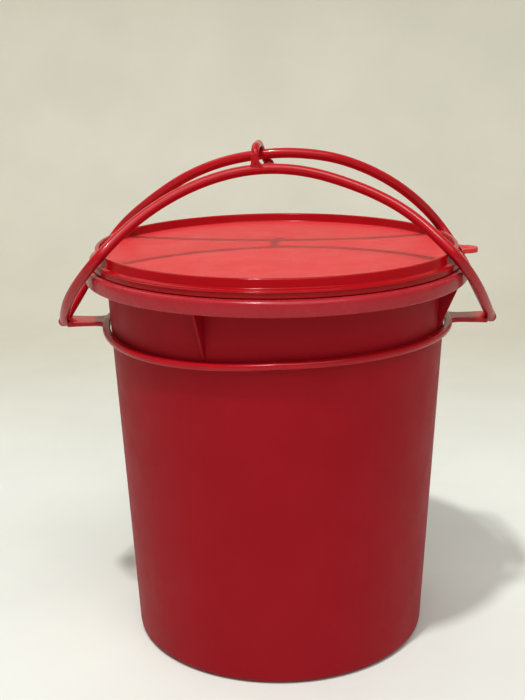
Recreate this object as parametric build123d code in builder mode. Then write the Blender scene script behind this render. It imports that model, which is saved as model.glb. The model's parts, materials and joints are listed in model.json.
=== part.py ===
"""Lidded storage pail with a press-on lid and a double-bail carrying handle.

Millimetres, +Z up. The origin is the centre of the base, on the surface that the pail stands on.
The lid's pull tab points along +X, and the two handle bails hinge at the ear tips on the X axis.
"""
from build123d import *
from math import asin, atan2, cos, degrees, hypot, radians, sin, tan
import os

os.makedirs("parts", exist_ok=True)

# ---- bucket ----
base_radius = 98.9
wall_draft = 2.96  # degrees; the wall leans outward as it rises
wall_thickness = 2.0
base_thickness = 2.6
bottom_corner = 5.0
mouth_height = 256.5  # top of the flange
flange_width = 12.8  # from the wall's outside to the skirt's outside
flange_thickness = 2.0
flange_round = 3.0
skirt_depth = 9.8
skirt_thickness = 2.0
lip_inset = 5.9  # from the skirt's outside to the lip's outside
lip_thickness = 1.8
lip_height = 3.2
rib_count = 4
rib_thickness = 1.8
rib_azimuth = -113.0  # degrees from +X; the others follow at even spacing

# ---- lid ----
panel_thickness = 2.0
panel_clearance = 0.3  # over the lip
lid_side_clearance = 0.4  # lid's lower wall around the lip
lid_lower_wall = 2.0
lid_seat_clearance = 0.3  # lower wall's edge above the flange
rim_height = 6.0  # above the panel
rim_inset = 3.5  # from the ledge's edge to the rim's outside, at its top
rim_thickness = 2.5
rim_round = 1.0
ledge_slope = 1.0
bead_radius = 0.5
seal_clearance = 0.4
seal_thickness = 1.8
seal_depth = 9.0
tab_length = 11.0  # beyond the ledge's edge
tab_root_width = 27.0
tab_tip_radius = 6.5
tab_thickness = 2.0
dimple_length = 5.0
dimple_width = 2.6
dimple_depth = 0.8

# ---- handle ring ----
ring_drop = 43.0  # ring's lower edge, below the flange's top
ring_height = 5.6
ring_thickness = 5.0
ring_clearance = 0.5
ring_round = 1.6
rib_clearance = 0.6  # rib feet above the ring
ear_thickness = 3.4
ear_root_width = 14.0
ear_tip_width = 20.0

# ---- bails ----
rod_diameter = 6.8
bail_overhang = 14.8  # rod's inner side beyond the skirt at the ear tips
front_fold_gap = 13.6  # rod's inner side beyond the skirt at mid-span, folded flat
rear_fold_gap = 18.7
front_rise = 47.0  # rod's centre above the lid's rim, at mid-span
rear_rise = 57.0
front_sway = 0.0  # arch's middle towards +X
rear_sway = 4.0
rear_knee_spread = 2.0  # rear knees beyond the front ones, before the sway
mid_spacing = 11.0  # rod's centre in front of or behind the middle plane
knee_inset = 11.4  # rod's inner side at the knee, inside the skirt's outside
elbow_inset = 5.6  # root rod's elbow, inside the ear tip
elbow_share = 0.58  # elbow's place on the way from the ear tip to the knee
elbow_bow = 4.5  # elbow's bow away from the straight way
elbow_radius = 28.0
lug_reach = 8.5  # from a hinge's axis to the rod's end
lug_radius = 4.0
lug_gap = 0.3
pin_radius = 1.7
pin_clearance = 0.05

# ---- hook ----
hook_offset = -10.7  # from the middle, along X
hook_blade_base = 12.0
hook_blade_top = 5.2
hook_blade_thickness = 4.0
hook_strand = 5.0
hook_clearance = 0.8
hook_rise = 7.8  # strand's centre above the rear rod's centre
hook_knob = 6.4
hook_twist = 7.2  # the knob's place along X from the blade


def wall_radius(z):
    """Outside of the tapered wall at height z."""
    return base_radius + z * tan(radians(wall_draft))


def nearest(section, radius, height):
    """The corner of a section that lies nearest to this radius and height."""
    return section.vertices().sort_by_distance((radius, height, 0))[0]


rod_radius = rod_diameter / 2
flange_radius = wall_radius(mouth_height) + flange_width
flange_underside = mouth_height - flange_thickness
skirt_inner = flange_radius - skirt_thickness
skirt_bottom = mouth_height - skirt_depth
lip_outer = flange_radius - lip_inset
lip_inner = lip_outer - lip_thickness
lip_top = mouth_height + lip_height

panel_underside = lip_top + panel_clearance
panel_top = panel_underside + panel_thickness
lower_inner = lip_outer + lid_side_clearance
ledge_radius = lower_inner + lid_lower_wall
rim_top = panel_top + rim_height
rim_outer = ledge_radius - rim_inset
rim_inner = rim_outer - rim_thickness

ring_bottom = mouth_height - ring_drop
ring_top = ring_bottom + ring_height
ring_inner = wall_radius(ring_top) + ring_clearance
ring_outer = ring_inner + ring_thickness
hinge_z = ring_bottom + ear_thickness / 2
bail_span = flange_radius + bail_overhang + rod_radius
ear_tip = bail_span - rod_radius - 2 * lug_gap
knee_span = flange_radius - knee_inset + rod_radius
knee_z = rim_top

# ---- bucket: wall, base, flange with its skirt, and the lip that the lid presses over ----
with BuildPart() as bucket:
    with BuildSketch(Plane.XZ) as bucket_section:
        with BuildLine():
            Polyline(
                (0, 0),
                (base_radius, 0),
                (wall_radius(flange_underside), flange_underside),
                (skirt_inner, flange_underside),
                (skirt_inner, skirt_bottom),
                (flange_radius, skirt_bottom),
                (flange_radius, mouth_height),
                (lip_outer, mouth_height),
                (lip_outer, lip_top),
                (lip_inner, lip_top),
                (lip_inner, mouth_height),
                (wall_radius(mouth_height) - wall_thickness, mouth_height),
                (wall_radius(base_thickness) - wall_thickness, base_thickness),
                (0, base_thickness),
                close=True,
            )
        make_face()
        fillet(nearest(bucket_section, base_radius, 0), bottom_corner)
        floor_radius = wall_radius(base_thickness) - wall_thickness
        fillet(nearest(bucket_section, floor_radius, base_thickness), bottom_corner - wall_thickness)
        fillet(nearest(bucket_section, flange_radius, mouth_height), flange_round)
    revolve(axis=Axis.Z)
    rib_foot = ring_top + rib_clearance
    for index in range(rib_count):
        direction = Vector(1, 0, 0).rotate(Axis.Z, rib_azimuth + index * 360 / rib_count)
        rib_plane = Plane((0, 0, 0), x_dir=direction, z_dir=direction.cross(Vector(0, 0, 1)))
        with BuildSketch(rib_plane):
            with BuildLine():
                Polyline(
                    (wall_radius(rib_foot) - wall_thickness / 2, rib_foot),
                    (wall_radius(rib_foot) + rib_thickness / 3, rib_foot),
                    (skirt_inner + skirt_thickness / 4, skirt_bottom + skirt_thickness / 2),
                    (skirt_inner + skirt_thickness / 4, flange_underside + flange_thickness / 4),
                    (wall_radius(flange_underside) - wall_thickness / 2, flange_underside),
                    close=True,
                )
            make_face()
        extrude(amount=rib_thickness / 2, both=True)
bucket.part.label = "bucket"
export_step(bucket.part, "parts/bucket.step")

# ---- lid: panel, upstanding rim, ledge, lower wall around the lip, inner seal and pull tab ----
lower_edge = mouth_height + lid_seat_clearance
seal_bottom = panel_underside - seal_depth
seal_outer = wall_radius(seal_bottom) - wall_thickness - seal_clearance
with BuildPart() as lid:
    with BuildSketch(Plane.XZ) as lid_section:
        with BuildLine():
            Polyline(
                (0, panel_underside),
                (seal_outer - seal_thickness, panel_underside),
                (seal_outer - seal_thickness, seal_bottom),
                (seal_outer, seal_bottom),
                (seal_outer, panel_underside),
                (lower_inner, panel_underside),
                (lower_inner, lower_edge),
                (ledge_radius, lower_edge),
                (ledge_radius, panel_top - ledge_slope / 2),
                (rim_outer + ledge_slope, panel_top + ledge_slope / 2),
                (rim_outer, rim_top),
                (rim_inner, rim_top),
                (rim_inner, panel_top),
                (0, panel_top),
                close=True,
            )
        make_face()
        fillet(nearest(lid_section, rim_outer, rim_top), rim_round)
        fillet(nearest(lid_section, rim_inner, rim_top), rim_round)
        with Locations((ledge_radius, panel_underside + bead_radius)):
            Circle(bead_radius)
    revolve(axis=Axis.Z)
    tab_top = panel_top - ledge_slope / 2
    tab_centre = ledge_radius + tab_length - tab_tip_radius
    with BuildSketch(Plane.XY.offset(tab_top)):
        with BuildLine():
            Polyline(
                (tab_centre, tab_tip_radius),
                (lower_inner + lid_lower_wall / 4, tab_root_width / 2),
                (lower_inner + lid_lower_wall / 4, -tab_root_width / 2),
                (tab_centre, -tab_tip_radius),
            )
            ThreePointArc(
                (tab_centre, -tab_tip_radius),
                (tab_centre + tab_tip_radius, 0),
                (tab_centre, tab_tip_radius),
            )
        make_face()
    extrude(amount=-tab_thickness)
    with BuildSketch(Plane.XY.offset(tab_top)):
        with Locations((tab_centre, 0)):
            SlotOverall(dimple_length, dimple_width)
    extrude(amount=-dimple_depth, mode=Mode.SUBTRACT)
lid.part.label = "lid"
export_step(lid.part, "parts/lid.step")

# ---- handle ring: loose band under the rib feet, with an ear and a hinge pin at each end of the X axis ----
with BuildPart() as handle_ring:
    with BuildSketch(Plane.XZ) as ring_section:
        with Locations(((ring_inner + ring_outer) / 2, (ring_bottom + ring_top) / 2)):
            Rectangle(ring_thickness, ring_height)
        fillet(ring_section.vertices().sort_by(Axis.X)[-2:], ring_round)
    revolve(axis=Axis.Z)
    for side in (1, -1):
        ear_root = side * (ring_inner + ring_thickness / 2)
        with BuildSketch(Plane.XY.offset(ring_bottom)):
            with BuildLine():
                Polyline(
                    (ear_root, -ear_root_width / 2),
                    (side * ear_tip, -ear_tip_width / 2),
                    (side * ear_tip, ear_tip_width / 2),
                    (ear_root, ear_root_width / 2),
                    close=True,
                )
            make_face()
        extrude(amount=ear_thickness)
        with BuildSketch(Plane.YZ.offset(side * (ear_tip - ear_root_width / 2))):
            with Locations((0, hinge_z)):
                Circle(pin_radius)
        extrude(amount=side * (bail_span + rod_radius - ear_tip + ear_root_width / 2))
handle_ring.part.label = "handle_ring"
export_step(handle_ring.part, "parts/handle_ring.step")


def knee_depth(rise, fold_gap):
    """How far the knee lies from the middle plane, so that root and arch clear the skirt by fold_gap."""
    fold_reach = flange_radius + fold_gap + rod_radius
    low, high = 0.0, fold_reach
    for _ in range(60):
        middle = (low + high) / 2
        root = hypot(middle, knee_z - hinge_z)
        arch = hypot(middle - mid_spacing, rise)
        low, high = (middle, high) if root + arch < fold_reach else (low, middle)
    return (low + high) / 2


def lug(x_from, x_to, start, end):
    """A flat plate across the X axis, with one rounded end on start and the other on end (Y, Z)."""
    length = hypot(end[0] - start[0], end[1] - start[1])
    turn = degrees(atan2(end[1] - start[1], end[0] - start[0]))
    with BuildSketch(Plane.YZ.offset(x_from)) as plate:
        with Locations(((start[0] + end[0]) / 2, (start[1] + end[1]) / 2)):
            SlotCenterToCenter(length, 2 * lug_radius, rotation=turn)
    extrude(plate.sketch, amount=x_to - x_from)


def cross_pin(x_from, x_to, centre, radius, mode=Mode.ADD):
    """A round pin or pin hole along X at centre (Y, Z)."""
    with BuildSketch(Plane.YZ.offset(x_from)) as disc:
        with Locations(centre):
            Circle(radius)
    extrude(disc.sketch, amount=x_to - x_from, mode=mode)


# each bail's side of the middle plane, rise, fold gap, sway, knee span, and its lugs' band on the ear's pin
bails = {
    "front": (-1, front_rise, front_fold_gap, front_sway, knee_span),
    "rear": (1, rear_rise, rear_fold_gap, rear_sway, knee_span + rear_knee_spread),
}
eye_bands = {
    "front": (ear_tip + lug_gap, bail_span - lug_gap / 2),
    "rear": (bail_span + lug_gap / 2, bail_span + rod_radius),
}
pin_hole = pin_radius + pin_clearance
for bail_name, (side_y, rise, fold_gap, sway, knee_x) in bails.items():
    knee_y = side_y * knee_depth(rise, fold_gap)
    eye_from, eye_to = eye_bands[bail_name]

    # root rods: from the eye on the ear's pin, past the elbow, to the half-lap at the knee
    for side_name, side_x in (("right", 1), ("left", -1)):
        knee = Vector(sway + side_x * knee_x, knee_y, knee_z)
        hinge = Vector(side_x * bail_span, 0, hinge_z)
        way = Vector(0, knee_y, knee_z - hinge_z)
        outward = Vector(0, side_y * abs(way.Z), -abs(way.Y)).normalized() * elbow_bow
        elbow = hinge - Vector(side_x * elbow_inset, 0, 0) + way * elbow_share + outward
        toward_elbow = Vector(0, elbow.Y, elbow.Z - hinge_z).normalized()
        root_start = hinge + toward_elbow * lug_reach
        root_end = knee + (elbow - knee).normalized() * lug_reach
        with BuildPart() as root:
            with BuildLine() as root_path:
                FilletPolyline(root_start, elbow, root_end, radius=elbow_radius)
            with BuildSketch(root_path.line ^ 0):
                Circle(rod_radius)
            sweep()
            eye = (side_x * eye_from, side_x * eye_to)
            lap = (knee.X + side_x * lug_gap / 2, knee.X + side_x * rod_radius)
            lug(*eye, (0, hinge_z), (root_start.Y, root_start.Z))
            lug(*lap, (knee.Y, knee.Z), (root_end.Y, root_end.Z))
            cross_pin(*eye, (0, hinge_z), pin_hole, Mode.SUBTRACT)
            cross_pin(*lap, (knee.Y, knee.Z), pin_hole, Mode.SUBTRACT)
        root.part.label = f"{bail_name}_root_{side_name}"
        export_step(root.part, f"parts/{bail_name}_root_{side_name}.step")

    # arch: a plane circular arc from knee to knee, through its middle point
    middle = Vector(sway, side_y * mid_spacing, rim_top + rise)
    up = middle - Vector(sway, knee_y, knee_z)
    arch_height = up.length
    up = up.normalized()
    arch_radius = (knee_x**2 + arch_height**2) / (2 * arch_height)
    end_angle = asin(knee_x / arch_radius) - lug_reach / arch_radius
    end_x = arch_radius * sin(end_angle)
    end_up = arch_radius * cos(end_angle) - (arch_radius - arch_height)
    arch_plane = Plane((sway, knee_y, knee_z), x_dir=(1, 0, 0), z_dir=(0, -up.Z, up.Y))
    with BuildPart() as bail:
        with BuildLine(arch_plane) as arch_path:
            ThreePointArc((-end_x, end_up), (0, arch_height), (end_x, end_up))
        with BuildSketch(arch_path.line ^ 0):
            Circle(rod_radius)
        sweep()
        for side_x in (1, -1):
            knee_centre = sway + side_x * knee_x
            inner_face = knee_centre - side_x * rod_radius
            lap_face = knee_centre - side_x * lug_gap / 2
            outer_face = knee_centre + side_x * rod_radius
            tip = (knee_y + up.Y * end_up, knee_z + up.Z * end_up)
            lug(inner_face, lap_face, (knee_y, knee_z), tip)
            cross_pin(inner_face, outer_face, (knee_y, knee_z), pin_radius)
        if bail_name == "front":
            # hook: a blade on the front rod, and a strand over and behind the rear rod to a knob
            rear_middle_z = rim_top + rear_rise
            strand_y = mid_spacing + rod_radius + hook_clearance + hook_strand / 2
            strand_top = rear_middle_z + hook_rise
            blade_top = strand_top - hook_strand
            blade_plane = Plane.XZ.offset(mid_spacing + hook_blade_thickness / 2)
            with BuildSketch(blade_plane):
                with BuildLine():
                    Polyline(
                        (hook_offset - hook_blade_base / 2, middle.Z + rod_radius / 2),
                        (hook_offset + hook_blade_base / 2, middle.Z + rod_radius / 2),
                        (hook_offset + hook_blade_top / 2, blade_top),
                        (hook_offset - hook_blade_top / 2, blade_top),
                        close=True,
                    )
                make_face()
            extrude(amount=-hook_blade_thickness)
            knob_x = hook_offset + hook_twist
            knob_z = rear_middle_z - rod_radius - hook_clearance - hook_knob / 2
            knob_y = strand_y - hook_strand / 2
            with BuildLine() as strand_path:
                FilletPolyline(
                    (hook_offset, -mid_spacing, blade_top - hook_strand),
                    (hook_offset, -mid_spacing, strand_top),
                    (hook_offset + hook_twist / 3, strand_y, strand_top),
                    (knob_x, strand_y, knob_z + hook_knob / 4),
                    radius=hook_strand,
                )
            with BuildSketch(strand_path.line ^ 0):
                Circle(hook_strand / 2)
            sweep(path=strand_path.line)
            with Locations((knob_x, knob_y, knob_z)):
                Sphere(hook_knob / 2)
    bail.part.label = f"{bail_name}_bail"
    export_step(bail.part, f"parts/{bail_name}_bail.step")
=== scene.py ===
"""Looks of the lidded pail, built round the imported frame. Metres, the same frame as the CAD."""
import json
from math import atan2, cos, exp, pi, radians, sin, sqrt, tan

import bmesh
import bpy
from mathutils import Matrix, Vector


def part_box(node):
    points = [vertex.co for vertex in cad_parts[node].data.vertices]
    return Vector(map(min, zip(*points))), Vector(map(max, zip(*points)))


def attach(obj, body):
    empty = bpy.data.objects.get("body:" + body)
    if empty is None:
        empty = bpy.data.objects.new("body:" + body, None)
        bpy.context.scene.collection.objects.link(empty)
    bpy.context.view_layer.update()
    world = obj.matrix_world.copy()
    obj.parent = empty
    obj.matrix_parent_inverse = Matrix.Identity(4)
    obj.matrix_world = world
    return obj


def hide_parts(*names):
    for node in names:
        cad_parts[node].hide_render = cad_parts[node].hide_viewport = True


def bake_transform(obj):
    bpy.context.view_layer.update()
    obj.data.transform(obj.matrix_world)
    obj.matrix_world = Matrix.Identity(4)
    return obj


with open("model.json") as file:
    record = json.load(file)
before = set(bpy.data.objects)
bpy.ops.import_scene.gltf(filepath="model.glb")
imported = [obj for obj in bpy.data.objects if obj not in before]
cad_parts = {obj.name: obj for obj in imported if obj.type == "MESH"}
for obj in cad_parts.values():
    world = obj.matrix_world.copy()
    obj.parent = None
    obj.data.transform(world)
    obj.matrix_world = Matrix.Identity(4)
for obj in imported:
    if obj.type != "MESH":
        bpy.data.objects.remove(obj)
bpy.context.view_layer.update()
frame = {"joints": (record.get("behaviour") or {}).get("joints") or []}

MM = 0.001

# ---- sizes read from the frame ----
joints = {joint["name"]: joint for joint in frame["joints"]}
_, bucket_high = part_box("bucket")
_, lid_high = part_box("lid")
ring_low, ring_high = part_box("handle_ring")

ROD = 3.4 * MM
SKIRT_RADIUS = bucket_high[1]
LIP_TOP = bucket_high[2]
MOUTH = LIP_TOP - 3.2 * MM
RIM_TOP = lid_high[2]
PANEL_TOP = RIM_TOP - 6 * MM
PANEL_UNDER = PANEL_TOP - 2 * MM
RING_BOTTOM = ring_low[2]
RING_TOP = ring_high[2]
RING_OUTER = ring_high[1]
HINGE_Z = joints["front_swing"]["pos_m"][2]
BAIL_SPAN = ring_high[0] - ROD

# ---- sizes of the mouldings ----
BASE_RADIUS = 98.9 * MM
WALL_SLOPE = tan(radians(2.96))
WALL = 2.0 * MM
BASE_THICKNESS = 2.6 * MM
SKIRT_BOTTOM = MOUTH - 9.8 * MM
SKIRT_WALL = 2.0 * MM
LIP_OUTER = SKIRT_RADIUS - 5.9 * MM
LIP_WALL = 1.8 * MM
LOWER_INNER = LIP_OUTER + 0.4 * MM
LEDGE_RADIUS = LOWER_INNER + 2.0 * MM
RIM_OUTER = LEDGE_RADIUS - 3.5 * MM
RIM_INNER = RIM_OUTER - 2.5 * MM
LOWER_EDGE = MOUTH + 0.3 * MM
MID_SPACING = 11.0 * MM  # how far each bail's top stands in front of or behind the middle
FRONT_RISE = 47.0 * MM  # the tops of the rods' centre lines above the lid's rim
REAR_RISE = 57.0 * MM
LATHE_STEPS = 224


def wall_radius(z):
    """Outside of the bucket's wall at height z."""
    return BASE_RADIUS + z * WALL_SLOPE


# ---- materials ----
def add_node(material, kind, **values):
    """A node of this kind, with its sockets set by name."""
    node = material.node_tree.nodes.new(kind)
    for name, value in values.items():
        node.inputs[name.replace("_", " ")].default_value = value
    return node


def noise(material, scale, detail):
    """Noise over object coordinates, which are metres in the shared frame. scale is waves per metre."""
    coordinates = material.node_tree.nodes.new("ShaderNodeTexCoord")
    texture = add_node(material, "ShaderNodeTexNoise", Scale=scale, Detail=detail, Roughness=0.55)
    material.node_tree.links.new(coordinates.outputs["Object"], texture.inputs["Vector"])
    return texture.outputs["Fac"]


def remap(material, value, low, high, from_low=0.35, from_high=0.65):
    """value, stretched to low..high and kept within it. It starts from the range that noise mostly fills."""
    node = add_node(material, "ShaderNodeMapRange")
    for index, number in enumerate((from_low, from_high, low, high), start=1):
        node.inputs[index].default_value = number
    material.node_tree.links.new(value, node.inputs[0])
    return node.outputs["Result"]


def mix(material, factor, first, second):
    """A node that gives a colour between first and second."""
    node = material.node_tree.nodes.new("ShaderNodeMix")
    node.data_type = "RGBA"
    node.inputs["A"].default_value = (*first, 1)
    node.inputs["B"].default_value = (*second, 1)
    material.node_tree.links.new(factor, node.inputs["Factor"])
    return node


def plastic(name, colour, worn, rough, grain, gloss=0.0, glow=0.0, dust=None, shine=0.15, waviness=2.0):
    """Moulded polypropylene: mottled colour, uneven sheen, fine grain and slow waves.

    colour and worn are the two ends of the mottling; rough is (low, high); grain is the bump's strength;
    gloss is the coat's weight, glow the subsurface weight and dust an optional pale film's colour;
    shine is the specular level, and waviness the depth of the slow waves against the grain.
    """
    material = bpy.data.materials.new(name)
    material.use_nodes = True
    shader = material.node_tree.nodes["Principled BSDF"]
    link = material.node_tree.links.new
    cloudy = noise(material, 22.0, detail=4.0)
    tint = mix(material, remap(material, cloudy, 0.0, 1.0), colour, worn)
    shown = tint.outputs["Result"]
    if dust:
        specks = noise(material, 900.0, detail=2.0)
        patches = noise(material, 9.0, detail=5.0)
        speck_share = remap(material, specks, 0.0, 0.35, 0.5, 0.72)
        patch_share = remap(material, patches, 0.2, 1.0)
        share = add_node(material, "ShaderNodeMath")
        share.operation = "MULTIPLY"
        link(speck_share, share.inputs[0])
        link(patch_share, share.inputs[1])
        film = mix(material, share.outputs["Value"], colour, dust)
        link(shown, film.inputs["A"])
        shown = film.outputs["Result"]
    link(shown, shader.inputs["Base Color"])
    sheen_map = noise(material, 60.0, detail=5.0)
    link(remap(material, sheen_map, rough[0], rough[1]), shader.inputs["Roughness"])
    fine = noise(material, 1400.0, detail=2.0)
    waves = noise(material, 35.0, detail=1.0)
    height = add_node(material, "ShaderNodeMath")
    height.operation = "MULTIPLY_ADD"
    height.inputs[1].default_value = waviness
    link(waves, height.inputs[0])
    link(fine, height.inputs[2])
    bump = add_node(material, "ShaderNodeBump", Strength=grain, Distance=0.00006)
    link(height.outputs["Value"], bump.inputs["Height"])
    link(bump.outputs["Normal"], shader.inputs["Normal"])
    shader.inputs["IOR"].default_value = 1.49
    shader.inputs["Specular IOR Level"].default_value = shine
    shader.inputs["Coat Weight"].default_value = gloss
    shader.inputs["Coat Roughness"].default_value = 0.08
    shader.inputs["Subsurface Weight"].default_value = glow
    shader.inputs["Subsurface Radius"].default_value = (1.0, 0.12, 0.12)
    shader.inputs["Subsurface Scale"].default_value = 0.004
    return material


WALL_PLASTIC = plastic(
    "wall_plastic", (0.300, 0.0026, 0.0085), (0.318, 0.0036, 0.0105),
    rough=(0.50, 0.58), grain=0.35, glow=0.03, shine=0.10,
)
SKIRT_PLASTIC = plastic(
    "skirt_plastic", (0.335, 0.0120, 0.0190), (0.365, 0.0170, 0.0250),
    rough=(0.24, 0.30), grain=0.08, gloss=0.12, glow=0.25, shine=0.20, waviness=1.0,
)
RIM_PLASTIC = plastic(
    "rim_plastic", (0.310, 0.0008, 0.0035), (0.340, 0.0012, 0.0050),
    rough=(0.15, 0.21), grain=0.10, gloss=0.10, glow=0.05, shine=0.12, waviness=1.0,
)
PANEL_PLASTIC = plastic(
    "panel_plastic", (0.53, 0.020, 0.025), (0.56, 0.025, 0.030),
    rough=(0.46, 0.56), grain=0.40, glow=0.10, dust=(0.68, 0.14, 0.14), shine=0.34,
)
HANDLE_PLASTIC = plastic(
    "handle_plastic", (0.365, 0.0022, 0.0075), (0.395, 0.0036, 0.0100),
    rough=(0.20, 0.28), grain=0.12, gloss=0.15, glow=0.08, shine=0.18, waviness=1.0,
)


# ---- mesh helpers ----
# Turns a flat plate's own XY plane upright: its second axis becomes Z.
UPRIGHT = Matrix(((1, 0, 0, 0), (0, 0, -1, 0), (0, 1, 0, 0), (0, 0, 0, 1)))


def rounded(points, steps=5):
    """A closed outline of (a, b, radius) corners as plain points, each corner turned into an arc."""
    outline = []
    for index, (a, b, radius) in enumerate(points):
        here = Vector((a, b))
        before = Vector(points[index - 1][:2])
        after = Vector(points[(index + 1) % len(points)][:2])
        if radius <= 0:
            outline.append(here)
            continue
        back, on = (before - here).normalized(), (after - here).normalized()
        half = back.angle(on) / 2
        reach = radius / tan(half)
        centre = here + (back + on).normalized() * (radius / sin(half))
        first = here + back * reach - centre
        turn = first.angle_signed(here + on * reach - centre)
        for step in range(steps + 1):
            angle = -turn * step / steps
            outline.append(centre + Matrix.Rotation(angle, 2) @ first)
    return outline


def new_piece(name, mesh, materials, body=None, stands_for=()):
    """An object with this mesh, smooth shading and materials, riding on body."""
    piece = bpy.data.objects.new(name, mesh)
    bpy.context.scene.collection.objects.link(piece)
    for material in materials:
        mesh.materials.append(material)
    if stands_for:
        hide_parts(*stands_for)
    if body:
        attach(piece, body)
    return piece


def finish_mesh(name, shape, smooth_angle=40.0):
    """The bmesh as a mesh with outward normals, smooth where faces meet gently."""
    bmesh.ops.recalc_face_normals(shape, faces=shape.faces)
    for face in shape.faces:
        face.smooth = True
    for edge in shape.edges:
        if len(edge.link_faces) == 2 and edge.calc_face_angle() > radians(smooth_angle):
            edge.smooth = False
    mesh = bpy.data.meshes.new(name)
    shape.to_mesh(mesh)
    shape.free()
    return mesh


def lathe(name, outline, material_of=None, steps=LATHE_STEPS):
    """A mesh from a closed outline of (radius, z), turned about the Z axis.

    material_of(radius, z) gives a face's material index from the middle of its stretch of outline.
    """
    shape = bmesh.new()
    columns = []
    for radius, z in outline:
        if radius < 1e-7:
            columns.append([shape.verts.new((0, 0, z))] * steps)
        else:
            angles = [2 * pi * step / steps for step in range(steps)]
            columns.append([shape.verts.new((radius * cos(t), radius * sin(t), z)) for t in angles])
    for index, column in enumerate(columns):
        following = columns[(index + 1) % len(columns)]
        for step in range(steps):
            ahead = (step + 1) % steps
            ring = [column[step], column[ahead], following[ahead], following[step]]
            corners = list(dict.fromkeys(ring))
            if len(corners) > 2:
                face = shape.faces.new(corners)
                if material_of:
                    centre = (outline[index] + outline[(index + 1) % len(outline)]) / 2
                    face.material_index = material_of(centre[0], centre[1])
    return finish_mesh(name, shape)


def add_plate(shape, outline, thickness, place):
    """Adds a flat plate to shape. Its outline of (a, b) points is mid-thickness, in place's own XY plane."""
    verts = [shape.verts.new(place @ Vector((a, b, -thickness / 2))) for a, b in outline]
    face = shape.faces.new(verts)
    grown = bmesh.ops.extrude_face_region(shape, geom=[face])
    lift = place.to_3x3() @ Vector((0, 0, thickness))
    moved = [item for item in grown["geom"] if isinstance(item, bmesh.types.BMVert)]
    bmesh.ops.translate(shape, vec=lift, verts=moved)


def soften(piece, width, segments=3):
    """Rounds a piece's sharp edges and keeps its flats flat-shaded."""
    bevel = piece.modifiers.new("rounding", "BEVEL")
    bevel.width = width
    bevel.segments = segments
    bevel.limit_method = "ANGLE"
    bevel.angle_limit = radians(35)
    piece.modifiers.new("normals", "WEIGHTED_NORMAL")
    return piece


def bake_modifiers(piece):
    """Makes the piece's shape with modifiers its own mesh."""
    bpy.context.view_layer.update()
    graph = bpy.context.evaluated_depsgraph_get()
    mesh = bpy.data.meshes.new_from_object(piece.evaluated_get(graph))
    piece.modifiers.clear()
    piece.data = mesh


def resample(points, spacing):
    """Points at an even spacing along a line of straight runs."""
    even, carried = [points[0]], 0.0
    for start, end in zip(points, points[1:]):
        run = (end - start).length
        place = spacing - carried
        while place <= run:
            even.append(start.lerp(end, place / run))
            place += spacing
        carried = run - (place - spacing)
    if (even[-1] - points[-1]).length < spacing / 2:
        even.pop()
    return even + [points[-1]]


def relaxed(points, rounds):
    """The line with its bends eased, its two ends held."""
    for _ in range(rounds):
        inner = [(a + 2 * b + c) / 4 for a, b, c in zip(points, points[1:], points[2:])]
        points = [points[0]] + inner + [points[-1]]
    return points


def tube(shape, points, radius_at, sides=32, ridge=0.0):
    """Adds a round tube along points, closed at both ends.

    radius_at(distance, length) gives its radius; ridge is the height of the parting lines on two sides.
    """
    ridge_width = 0.12
    lengths = [0.0]
    for start, end in zip(points, points[1:]):
        lengths.append(lengths[-1] + (end - start).length)
    tangent = (points[1] - points[0]).normalized()
    across = tangent.orthogonal().normalized()
    if abs(tangent.y) < 0.99:
        across = (Vector((0, 1, 0)) - tangent * tangent.y).normalized()
    hoops = []
    for index, point in enumerate(points):
        before, after = points[max(index - 1, 0)], points[min(index + 1, len(points) - 1)]
        ahead = (after - before).normalized()
        across = tangent.rotation_difference(ahead) @ across
        across = (across - ahead * across.dot(ahead)).normalized()
        tangent = ahead
        up = tangent.cross(across)
        radius = radius_at(lengths[index], lengths[-1])
        hoop = []
        for side in range(sides):
            angle = 2 * pi * side / sides
            reach = radius + ridge * exp(-((sin(angle) / ridge_width) ** 2))
            hoop.append(shape.verts.new(point + (across * cos(angle) + up * sin(angle)) * reach))
        hoops.append(hoop)
    for first, second in zip(hoops, hoops[1:]):
        for side in range(sides):
            on = (side + 1) % sides
            shape.faces.new((first[side], first[on], second[on], second[side]))
    shape.faces.new(hoops[0][::-1])
    shape.faces.new(hoops[-1])


def round_ended(radius):
    """A tube radius that closes both ends as half balls."""

    def at(distance, length):
        inset = max(radius - distance, radius - (length - distance), 0.0)
        return max(sqrt(max(radius**2 - inset**2, 0.0)), radius * 0.04)

    return at


def ends_extended(points, radius, steps=7):
    """Adds close-set points at both ends, reaching one radius further, for half-ball ends."""

    def cap(end, inward):
        out = (end - inward).normalized()
        return [end + out * radius * sin(pi / 2 * step / steps) for step in range(steps, 0, -1)]

    return cap(points[0], points[1]) + points + cap(points[-1], points[-2])[::-1]


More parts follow.
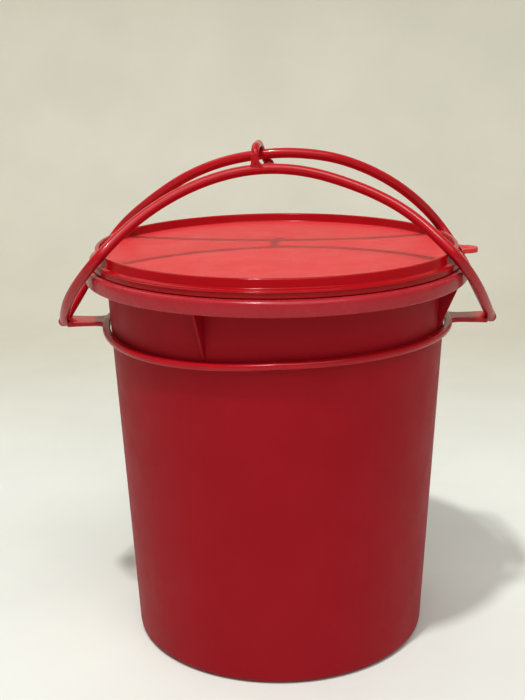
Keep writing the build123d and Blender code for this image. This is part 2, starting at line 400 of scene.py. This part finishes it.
# ---- bucket ----
def build_bucket():
    """The wall and base, the flange with its down-turned skirt, and the lip that the lid presses on to."""
    recess_radius, recess_depth = 80 * MM, 0.9 * MM
    foot_radius = 82 * MM
    flange_under = MOUTH - 2 * MM
    skirt_inner = SKIRT_RADIUS - SKIRT_WALL
    lip_inner = LIP_OUTER - LIP_WALL
    skirt_starts = wall_radius(MOUTH) + 1.5 * MM
    outline = rounded([
        (0, recess_depth, 0),
        (recess_radius, recess_depth, 0.6 * MM),
        (foot_radius, 0, 0.6 * MM),
        (BASE_RADIUS, 0, 5 * MM),
        (wall_radius(flange_under), flange_under, 1.0 * MM),
        (skirt_inner, flange_under, 1.2 * MM),
        (skirt_inner, SKIRT_BOTTOM, 0.7 * MM),
        (SKIRT_RADIUS, SKIRT_BOTTOM, 0.7 * MM),
        (SKIRT_RADIUS, MOUTH, 3.0 * MM),
        (LIP_OUTER, MOUTH, 0.4 * MM),
        (LIP_OUTER, LIP_TOP, 0.6 * MM),
        (lip_inner, LIP_TOP, 0.6 * MM),
        (lip_inner, MOUTH, 0.4 * MM),
        (wall_radius(MOUTH) - WALL, MOUTH, 0.6 * MM),
        (wall_radius(BASE_THICKNESS) - WALL, BASE_THICKNESS, 3.0 * MM),
        (0, BASE_THICKNESS, 0),
    ])

    def slot_of(radius, z):
        return 1 if radius > skirt_starts else 0

    mesh = lathe("bucket_shell", outline, slot_of)
    new_piece("bucket_shell", mesh, [WALL_PLASTIC, SKIRT_PLASTIC], "bucket", ["bucket"])


def build_ribs():
    """Four thin gussets under the skirt. The front left one reaches lower, down to where the ring dips."""
    front_left, thickness = -113, 1.7 * MM
    in_skirt = SKIRT_RADIUS - SKIRT_WALL * 0.75
    in_flange = MOUTH - 1.5 * MM
    shape = bmesh.new()
    for index in range(4):
        foot = RING_TOP - (2.6 * MM if index == 0 else 0.2 * MM)
        outline = [
            (wall_radius(foot) - WALL / 2, foot),
            (wall_radius(foot) + 0.9 * MM, foot),
            (in_skirt, SKIRT_BOTTOM + 1.0 * MM),
            (in_skirt, in_flange),
            (wall_radius(MOUTH) - WALL / 2, in_flange),
        ]
        azimuth = Matrix.Rotation(radians(front_left + 90 * index), 4, "Z")
        add_plate(shape, outline, thickness, azimuth @ UPRIGHT)
    mesh = finish_mesh("bucket_ribs", shape)
    soften(new_piece("bucket_ribs", mesh, [WALL_PLASTIC], "bucket"), 0.35 * MM)


def build_gate_mark():
    """The small raised gate left in the middle of the base's recess."""
    outline = rounded([
        (0, 0.2 * MM, 0), (3.0 * MM, 0.2 * MM, 0.3 * MM), (3.6 * MM, 1.2 * MM, 0), (0, 1.2 * MM, 0),
    ])
    mesh = lathe("base_gate_mark", outline, steps=48)
    new_piece("base_gate_mark", mesh, [WALL_PLASTIC], "bucket")


# ---- lid ----
def build_lid():
    """The panel and its rim, the ledge with a fine bead, the wall outside the lip and the seal inside it."""
    seal_bottom = PANEL_UNDER - 9 * MM
    seal_outer = wall_radius(seal_bottom) - WALL - 0.4 * MM
    bead, bead_radius = PANEL_UNDER + 0.2 * MM, LEDGE_RADIUS + 0.45 * MM
    outline = rounded([
        (0, PANEL_UNDER, 0),
        (seal_outer - 1.8 * MM, PANEL_UNDER, 0.5 * MM),
        (seal_outer - 1.4 * MM, seal_bottom, 0.5 * MM),
        (seal_outer - 0.2 * MM, seal_bottom, 0.5 * MM),
        (seal_outer, PANEL_UNDER, 0.5 * MM),
        (LOWER_INNER, PANEL_UNDER, 0.2 * MM),
        (LOWER_INNER, LOWER_EDGE, 0.4 * MM),
        (LEDGE_RADIUS, LOWER_EDGE, 0.7 * MM),
        (LEDGE_RADIUS - 0.2 * MM, bead - 0.3 * MM, 0.15 * MM),
        (bead_radius, bead, 0.2 * MM),
        (bead_radius, bead + 0.6 * MM, 0.25 * MM),
        (LEDGE_RADIUS - 0.1 * MM, bead + 0.9 * MM, 0.15 * MM),
        (LEDGE_RADIUS, PANEL_TOP - 0.5 * MM, 0.6 * MM),
        (RIM_OUTER + 1.0 * MM, PANEL_TOP + 0.5 * MM, 0.8 * MM),
        (RIM_OUTER + 0.1 * MM, RIM_TOP, 1.0 * MM),
        (RIM_INNER, RIM_TOP, 1.0 * MM),
        (RIM_INNER - 0.6 * MM, PANEL_TOP, 1.2 * MM),
        (RIM_INNER * 0.6, PANEL_TOP - 0.15 * MM, 0),
        (0, PANEL_TOP - 0.3 * MM, 0),
    ])

    def slot_of(radius, z):
        return 1 if radius < RIM_INNER - 1.0 * MM and z > PANEL_UNDER + 0.5 * MM else 0

    mesh = lathe("lid_shell", outline, slot_of)
    new_piece("lid_shell", mesh, [RIM_PLASTIC, PANEL_PLASTIC], "lid", ["lid"])


def build_tab():
    """The pull tab: a tongue that flares into the ledge, with a small oblong dimple near its tip."""
    length, tip_radius, root_half, thickness = 11 * MM, 8.0 * MM, 13.4 * MM, 2.8 * MM
    top = PANEL_TOP + 0.4 * MM
    centre = LEDGE_RADIUS + length - tip_radius - 0.1 * MM
    root = LEDGE_RADIUS - 1.5 * MM
    flare, flare_steps, tip_steps = [], 8, 16
    for step in range(flare_steps + 1):
        share = step / flare_steps
        half = root_half + (tip_radius - root_half) * sin(share * pi / 2)
        flare.append((root + (centre - root) * share, half))
    turns = [pi * step / tip_steps for step in range(1, tip_steps)]
    tip = [(centre + tip_radius * sin(turn), tip_radius * cos(turn)) for turn in turns]
    outline = flare + tip + [(a, -b) for a, b in reversed(flare)]
    shape = bmesh.new()
    add_plate(shape, outline, thickness, Matrix.Translation((0, 0, top - thickness / 2)))
    top_face = max(shape.faces, key=lambda face: face.calc_center_median().z)
    bmesh.ops.inset_individual(shape, faces=[top_face], thickness=1.0 * MM, use_even_offset=True)
    mesh = finish_mesh("lid_tab", shape)
    tab = soften(new_piece("lid_tab", mesh, [PANEL_PLASTIC], "lid"), 0.5 * MM)
    cutter_shape = bmesh.new()
    half_length, half_width, depth = 2.5 * MM, 1.3 * MM, 0.8 * MM
    corners = ((-1, -1), (1, -1), (1, 1), (-1, 1))
    dimple = rounded([(centre + a * half_length, b * half_width, 1.2 * MM) for a, b in corners])
    add_plate(cutter_shape, dimple, 2 * depth, Matrix.Translation((0, 0, top)))
    cutter_mesh = finish_mesh("dimple_cutter", cutter_shape)
    cutter = bpy.data.objects.new("dimple_cutter", cutter_mesh)
    bpy.context.scene.collection.objects.link(cutter)
    cut = tab.modifiers.new("dimple", "BOOLEAN")
    cut.object = cutter
    cut.solver = "EXACT"
    tab.modifiers.move(len(tab.modifiers) - 1, 0)
    bake_modifiers(tab)
    bpy.data.objects.remove(cutter)


# ---- handle ring and its ears ----
RING_SAG = 3.4 * MM  # the ring hangs lower at the front left
RING_LIFT = 0.6 * MM  # and rides higher at the front right


def build_ring():
    """The loose band round the wall, a little shallower than its CAD stand-in so that it can sag."""
    inner = wall_radius(RING_TOP) + 0.5 * MM
    top = RING_TOP - 1.4 * MM
    outline = rounded([
        (inner, RING_BOTTOM, 0.8 * MM),
        (RING_OUTER, RING_BOTTOM, 1.6 * MM),
        (RING_OUTER, top, 1.6 * MM),
        (inner, top, 1.0 * MM),
    ], steps=6)
    mesh = lathe("ring_band", outline)
    for vert in mesh.vertices:
        around = atan2(vert.co.y, vert.co.x)
        front = max(0.0, -sin(around))
        dip = front * max(0.0, -cos(around)) * 2 * RING_SAG
        vert.co.z += front * max(0.0, cos(around)) * 2 * RING_LIFT - dip
    new_piece("ring_band", mesh, [HANDLE_PLASTIC], "ring", ["handle_ring"])


def build_ear(name, side):
    """A flat arm from the ring, flared at its root, wider at its tip, with a tongue into the bails' bend."""
    root = RING_OUTER - 3.0 * MM
    tip = BAIL_SPAN - ROD - 0.7 * MM
    waist, tip_growth, root_flare, flare_share = 8.0 * MM, 2.4 * MM, 6.0 * MM, 1 / 3.2
    half_points = []
    steps = 14
    for step in range(steps + 1):
        share = step / steps
        flare = root_flare * max(0.0, 1 - share / flare_share) ** 2
        half_points.append((root + (tip - root) * share, waist + tip_growth * share**2 + flare))
    tongue = [(tip, 3.0 * MM), (BAIL_SPAN - 0.8 * MM, 2.0 * MM)]
    upper = half_points + tongue
    outline = upper + [(a, -b) for a, b in reversed(upper)]
    shape = bmesh.new()
    thickness = 3.3 * MM
    turn = Matrix.Rotation(0 if side > 0 else pi, 4, "Z")
    add_plate(shape, outline, thickness, turn @ Matrix.Translation((0, 0, HINGE_Z)))
    mesh = finish_mesh(name, shape)
    soften(new_piece(name, mesh, [HANDLE_PLASTIC], "ring"), 0.9 * MM, segments=4)


# ---- bails ----
# Marks along each rod's centre line at rest, seen from the front: (x, z) in mm, left to right.
# The moulded rods lean and sway a little, so their two sides differ.
FRONT_SHAPE = (
    (-139.8, 227.4), (-130.2, 243.2), (-119.0, 257.9), (-105.0, 273.8), (-90.7, 286.7), (-70.5, 299.6),
    (-48.5, 309.2), (-25.0, 315.4), (-2.4, 317.2), (21.0, 315.2), (43.7, 308.8), (65.0, 301.2),
    (84.8, 290.9), (101.5, 276.0), (114.3, 263.0), (124.5, 249.2), (132.8, 233.7), (139.1, 222.9),
)
REAR_SHAPE = (
    (-133.5, 230.0), (-124.0, 249.0), (-115.6, 262.0), (-105.0, 274.0), (-91.5, 285.5), (-79.1, 294.9),
    (-67.0, 303.9), (-51.5, 312.6), (-28.0, 321.0), (6.0, 325.2), (39.0, 321.4), (64.2, 310.9),
    (79.3, 301.9), (91.3, 292.7), (101.9, 283.2), (110.6, 273.7), (117.6, 264.9), (123.8, 256.0),
    (130.8, 243.0), (137.0, 229.5),
)


MARK_SPACING = 1.5 * MM
FLAT_ROUNDS = 110  # smoothing of the line seen from the front
SPACE_ROUNDS = 30  # and of the whole line


def bail_line(side_y, rise, shape):
    """The rod's centre line from the left ear tip over the top to the right ear tip.

    side_y is -1 for the front rod and 1 for the rear one.
    """
    fold = joints["front_fold" if side_y < 0 else "rear_fold"]["pos_m"]
    knee_out, bow = 2.6 * MM, 4.5 * MM
    knee_y, knee_z = fold[1] + side_y * knee_out, fold[2]
    tip = BAIL_SPAN - (0.8 * MM if side_y < 0 else 0.1 * MM)

    def depth(z):
        """How far forward or back the rod stands at height z: out past the rim, then in over the lid."""
        if z > knee_z:
            share = (z - knee_z) / (RIM_TOP + rise - knee_z)
            return knee_y + share * (side_y * MID_SPACING - knee_y)
        share = (z - HINGE_Z) / (knee_z - HINGE_Z)
        return share * knee_y + side_y * bow * sin(pi * share)

    ends = Vector((-tip, 0, HINGE_Z)), Vector((tip, 0, HINGE_Z))
    marks = [ends[0]] + [Vector((x * MM, 0, z * MM)) for x, z in shape] + [ends[1]]
    flat = relaxed(resample(marks, MARK_SPACING), FLAT_ROUNDS)
    return relaxed([Vector((point.x, depth(point.z), point.z)) for point in flat], SPACE_ROUNDS)


def build_bail(name, side_y, rise, shape, stands_for):
    """One flexible rod, made as a single round tube from one ear tip over the top to the other."""
    line = ends_extended(bail_line(side_y, rise, shape), ROD)
    mesh_shape = bmesh.new()
    tube(mesh_shape, line, round_ended(ROD - 0.05 * MM), sides=36, ridge=0.09 * MM)
    mesh = finish_mesh(name, mesh_shape, smooth_angle=60)
    piece = new_piece(name, mesh, [HANDLE_PLASTIC], stands_for=stands_for)
    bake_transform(piece)


def build_hook():
    """The clip on the front rod: a blade that narrows into a strand over the rear rod, ending in a knob."""
    rear_top = RIM_TOP + REAR_RISE
    front_top = RIM_TOP + FRONT_RISE
    x = -12.8 * MM
    strand = 2.6 * MM
    strand_y = MID_SPACING + ROD + 0.8 * MM + strand
    top = rear_top + 5.2 * MM
    knob = Vector((x + 8.6 * MM, strand_y - strand, rear_top - ROD - 5.0 * MM))
    shape = bmesh.new()
    blade = [
        (x - 3.8 * MM, front_top + 1.6 * MM), (x - 3.0 * MM, front_top + 3.6 * MM),
        (x - 2.6 * MM, front_top + 7.0 * MM), (x - 2.5 * MM, top - 4 * MM),
        (x + 1.6 * MM, top - 4 * MM), (x + 2.2 * MM, front_top + 7.0 * MM),
        (x + 3.8 * MM, front_top + 4.6 * MM), (x + 6.4 * MM, front_top + 1.6 * MM),
    ]
    add_plate(shape, blade, 4.0 * MM, Matrix.Translation((0, -MID_SPACING, 0)) @ UPRIGHT)
    route = [
        Vector((x, -MID_SPACING, top - 9 * MM)),
        Vector((x, -MID_SPACING + 0.6 * MM, top - 3 * MM)),
        Vector((x + 0.4 * MM, -MID_SPACING + 5.5 * MM, top)),
        Vector((x + 2.2 * MM, strand_y - 5 * MM, top)),
        Vector((x + 3.4 * MM, strand_y, top - 4 * MM)),
        Vector((x + 5.6 * MM, strand_y, knob.z + 5 * MM)),
        knob,
    ]
    line = relaxed(resample(route, 0.8 * MM), 6)
    tube(shape, ends_extended(line, strand), round_ended(strand), sides=24)
    knob_place = Matrix.Translation(knob)
    bmesh.ops.create_uvsphere(shape, u_segments=32, v_segments=20, radius=3.6 * MM, matrix=knob_place)
    mesh = finish_mesh("front_bail_hook", shape)
    hook = new_piece("front_bail_hook", mesh, [HANDLE_PLASTIC], "front_arch")
    remesh = hook.modifiers.new("fuse", "REMESH")
    remesh.mode = "VOXEL"
    remesh.voxel_size = 0.35 * MM
    remesh.use_smooth_shade = True
    ease = hook.modifiers.new("ease", "SMOOTH")
    ease.factor = 0.5
    ease.iterations = 10
    bake_modifiers(hook)
    for face in hook.data.polygons:
        face.use_smooth = True


build_bucket()
build_ribs()
build_gate_mark()
build_lid()
build_tab()
build_ring()
build_ear("ear_right", 1)
build_ear("ear_left", -1)
build_bail(
    "front_bail_rod", -1, FRONT_RISE, FRONT_SHAPE,
    ["front_root_left", "front_root_right", "front_bail"],
)
build_bail(
    "rear_bail_rod", 1, REAR_RISE, REAR_SHAPE,
    ["rear_root_left", "rear_root_right", "rear_bail"],
)
build_hook()


# ---- floor, light and camera ----
def stage_material(name, floor, wall, rough):
    """A plain matt surface, pale on the floor and beige up the back, with a faint unevenness."""
    material = bpy.data.materials.new(name)
    material.use_nodes = True
    shader = material.node_tree.nodes["Principled BSDF"]
    link = material.node_tree.links.new
    coordinates = material.node_tree.nodes.new("ShaderNodeTexCoord")
    parts = material.node_tree.nodes.new("ShaderNodeSeparateXYZ")
    link(coordinates.outputs["Object"], parts.inputs["Vector"])
    colour = mix(material, remap(material, parts.outputs["Y"], 0.0, 1.0, 0.25, 0.75), floor, wall)
    uneven = remap(material, noise(material, 6.0, detail=4.0), 0.0, 0.06)
    shade = mix(material, uneven, floor, (0.0, 0.0, 0.0))
    link(colour.outputs["Result"], shade.inputs["A"])
    link(shade.outputs["Result"], shader.inputs["Base Color"])
    shader.inputs["Roughness"].default_value = rough
    return material


def build_stage():
    """A pale floor that runs up in a curve behind the object."""
    shape = bmesh.new()
    half_width, front, back, height, bend, steps = 6.0, -4.0, 1.3, 4.0, 0.5, 16
    profile = [(front, 0.0), (back - bend, 0.0)]
    for step in range(1, steps + 1):
        angle = pi / 2 * step / steps
        profile.append((back - bend + bend * sin(angle), bend - bend * cos(angle)))
    profile.append((back, height))
    rows = [[shape.verts.new((x, y, z)) for x in (-half_width, half_width)] for y, z in profile]
    for first, second in zip(rows, rows[1:]):
        shape.faces.new((first[0], first[1], second[1], second[0]))
    for face in shape.faces:
        face.smooth = True
    mesh = bpy.data.meshes.new("backdrop")
    shape.to_mesh(mesh)
    shape.free()
    floor_colour, wall_colour = (0.70, 0.725, 0.695), (0.60, 0.585, 0.495)
    mesh.materials.append(stage_material("backdrop_paint", floor_colour, wall_colour, rough=0.7))
    backdrop = bpy.data.objects.new("backdrop", mesh)
    bpy.context.scene.collection.objects.link(backdrop)


def add_light(name, place, target, size, power, colour):
    """A round area light at place, aimed at target. size is in metres and power in watts."""
    data = bpy.data.lights.new(name, "AREA")
    data.shape = "DISK"
    data.size = size
    data.energy = power
    data.color = colour
    light = bpy.data.objects.new(name, data)
    light.location = place
    light.rotation_euler = (Vector(target) - Vector(place)).to_track_quat("-Z", "Y").to_euler()
    bpy.context.scene.collection.objects.link(light)


def build_lights():
    """One small lamp for the crisp shadow, two wide ones for the room's bounce, and an even world."""
    target = (0, 0, 0.2)
    add_light("ceiling_lamp", (-0.33, -0.78, 2.25), target, 0.14, 36, (1.0, 0.98, 0.94))
    add_light("ceiling_bounce", (0.4, -1.6, 2.6), target, 2.6, 40, (1.0, 0.99, 0.97))
    add_light("back_fill", (-0.9, 1.3, 2.0), target, 1.6, 12, (1.0, 0.98, 0.95))
    world = bpy.data.worlds.new("soft_room")
    world.use_nodes = True
    background = world.node_tree.nodes["Background"]
    background.inputs["Color"].default_value = (1.0, 0.98, 0.95, 1)
    background.inputs["Strength"].default_value = 0.34
    bpy.context.scene.world = world


def build_camera():
    """A phone-like camera in front of the pail, looking slightly down."""
    data = bpy.data.cameras.new("camera")
    data.sensor_fit = "VERTICAL"
    data.sensor_height = 36.0
    data.lens = 60.2
    data.clip_start = 0.01
    camera = bpy.data.objects.new("camera", data)
    place = (0, -0.7597, 0.4053)
    yaw, pitch, roll = radians(-0.75), radians(15.56), radians(-0.83)
    forward = Vector((sin(yaw) * cos(pitch), cos(yaw) * cos(pitch), -sin(pitch)))
    right = Vector((cos(yaw), -sin(yaw), 0))
    up = right.cross(forward)
    tilted_right = right * cos(roll) + up * sin(roll)
    tilted_up = up * cos(roll) - right * sin(roll)
    axes = Matrix((tilted_right, tilted_up, -forward)).transposed().to_4x4()
    camera.matrix_world = Matrix.Translation(place) @ axes
    bpy.context.scene.collection.objects.link(camera)
    bpy.context.scene.camera = camera


build_stage()
build_lights()
build_camera()
bpy.context.scene.view_settings.view_transform = "Standard"
